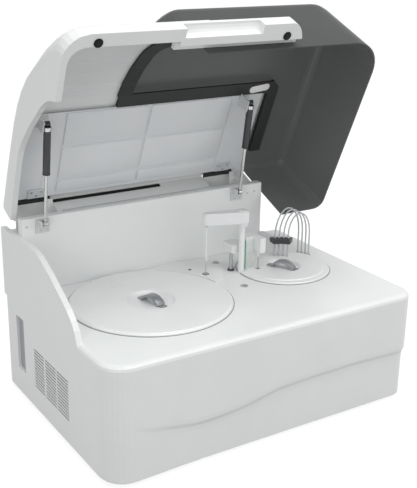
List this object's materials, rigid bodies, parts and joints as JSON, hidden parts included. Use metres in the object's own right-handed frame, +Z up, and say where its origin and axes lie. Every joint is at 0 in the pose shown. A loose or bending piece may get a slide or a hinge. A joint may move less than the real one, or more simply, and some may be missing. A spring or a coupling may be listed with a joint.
{
  "type": "benchtop chemistry analyzer",
  "caption": "Benchtop chemistry analyzer with a raised clamshell cover and smoked hood, a covered reagent carousel, a reaction carousel, a sampling arm, a mixing block and a wash station.",
  "frame": {"origin": "centre of the footprint at the bottom of the feet", "axes": "+X to the operator's right, +Y towards the back, +Z up; the front of the machine faces -Y"},
  "size_m": [0.86, 0.594, 0.9687],
  "materials": {
    "body_white": "satin moulded white",
    "inner_white": "matt light grey white",
    "smoked": "smoked glossy",
    "rim_dark": "matt black",
    "rubber": "matt",
    "steel": "bright drawn",
    "strut_black": "black enamel",
    "handle_grey": "grey satin",
    "clear": "clear, faint green edge",
    "board_green": "solder resist",
    "zinc": "zinc plated sheet",
    "black_plastic": "matt black"
  },
  "bodies": {
    "base": {"main_housing": "body_white", "hinge_wall": "body_white", "wall_seal": "rubber", "rear_panel": "zinc", "base_plate": "zinc", "foot_front_left": "rubber", "foot_front_right": "rubber", "foot_rear_left": "rubber", "foot_rear_right": "rubber", "reagent_well": "inner_white", "reaction_well": "inner_white", "reagent_cover": "body_white", "reagent_handle": "handle_grey", "reaction_cover": "body_white", "reaction_handle": "handle_grey", "centre_plate": "body_white", "splash_guard": "clear", "reagent_motor": "zinc", "reaction_motor": "zinc", "power_supply": "zinc", "control_board": "board_green", "fan_frame": "black_plastic", "power_inlet": "black_plastic", "hinge_base_left": "black_plastic", "hinge_base_right": "black_plastic", "hinge_pin_left": "steel", "hinge_pin_right": "steel", "strut_mount_left": "steel", "strut_mount_right": "steel"},
    "lid": {"lid_shell": "body_white", "lid_liner": "inner_white", "lid_hood": "smoked", "hood_rim": "rim_dark", "bumper_left": "rubber", "bumper_right": "rubber", "hinge_leaf_left": "black_plastic", "hinge_leaf_right": "black_plastic", "lid_bracket_left": "steel", "lid_bracket_right": "steel"},
    "strut_rod_left_body": {"strut_rod_left": "steel"},
    "strut_tube_left_body": {"strut_tube_left": "strut_black"},
    "strut_rod_right_body": {"strut_rod_right": "steel"},
    "strut_tube_right_body": {"strut_tube_right": "strut_black"},
    "reagent_carousel": {"reagent_rotor": "inner_white"},
    "reaction_carousel": {"reaction_rotor": "inner_white"},
    "sampler_lifter": {"sampler_column": "steel"},
    "sampler": {"sampler_arm": "body_white", "sampler_probe": "steel"},
    "mixer": {"mixer_block": "body_white", "mixer_shaft": "steel", "stirrer_left": "steel", "stirrer_right": "steel"},
    "wash_head": {"wash_bar": "inner_white", "wash_post": "steel", "wash_tube_1": "steel", "wash_tube_2": "steel", "wash_tube_3": "steel", "wash_tube_4": "steel"},
    "fan": {"fan_rotor": "black_plastic"},
    "switch": {"power_switch": "black_plastic"}
  },
  "joints": [
    {"name": "lid_hinge", "type": "hinge", "parent": "base", "child": "lid", "pos_m": [0, 0.278, 0.5], "axis": [1, 0, 0], "range_deg": [0, 67]},
    {"name": "strut_swing_left", "type": "hinge", "parent": "base", "child": "strut_rod_left_body", "pos_m": [-0.362, 0.172, 0.468], "axis": [1, 0, 0], "range_deg": [0, 88]},
    {"name": "strut_stroke_left", "type": "slide", "parent": "strut_rod_left_body", "child": "strut_tube_left_body", "axis": [0, -0.1537, 0.9881], "range_m": [-0.102, 0]},
    {"name": "strut_swing_right", "type": "hinge", "parent": "base", "child": "strut_rod_right_body", "pos_m": [0.205, 0.172, 0.468], "axis": [1, 0, 0], "range_deg": [0, 88]},
    {"name": "strut_stroke_right", "type": "slide", "parent": "strut_rod_right_body", "child": "strut_tube_right_body", "axis": [0, -0.1537, 0.9881], "range_m": [-0.102, 0]},
    {"name": "reagent_spin", "type": "hinge", "parent": "base", "child": "reagent_carousel", "pos_m": [-0.176, -0.016, 0.2], "axis": [0, 0, 1], "continuous": true},
    {"name": "reaction_spin", "type": "hinge", "parent": "base", "child": "reaction_carousel", "pos_m": [0.242, 0.013, 0.25], "axis": [0, 0, 1], "continuous": true},
    {"name": "sampler_lift", "type": "slide", "parent": "base", "child": "sampler_lifter", "axis": [0, 0, 1], "range_m": [-0.02, 0]},
    {"name": "sampler_swing", "type": "hinge", "parent": "sampler_lifter", "child": "sampler", "pos_m": [0.125, 0.04, 0.44], "axis": [0, 0, 1], "range_deg": [-63.1, 77.4]},
    {"name": "mixer_lift", "type": "slide", "parent": "base", "child": "mixer", "axis": [0, 0, 1], "range_m": [-0.012, 0.015]},
    {"name": "wash_lift", "type": "slide", "parent": "base", "child": "wash_head", "axis": [0, 0, 1], "range_m": [-0.012, 0.02]},
    {"name": "fan_spin", "type": "hinge", "parent": "base", "child": "fan", "pos_m": [-0.21, 0.2826, 0.15], "axis": [0, 1, 0], "continuous": true},
    {"name": "switch_rock", "type": "hinge", "parent": "base", "child": "switch", "pos_m": [0.24, 0.2917, 0.117], "axis": [1, 0, 0], "range_deg": [0, 12]}
  ],
  "couplings": [
    {"joint": "strut_swing_left", "follows": "lid_hinge", "ratio": 1.301},
    {"joint": "strut_stroke_left", "follows": "lid_hinge", "m_per_rad": -0.0863},
    {"joint": "strut_swing_right", "follows": "lid_hinge", "ratio": 1.301},
    {"joint": "strut_stroke_right", "follows": "lid_hinge", "m_per_rad": -0.0863}
  ]
}
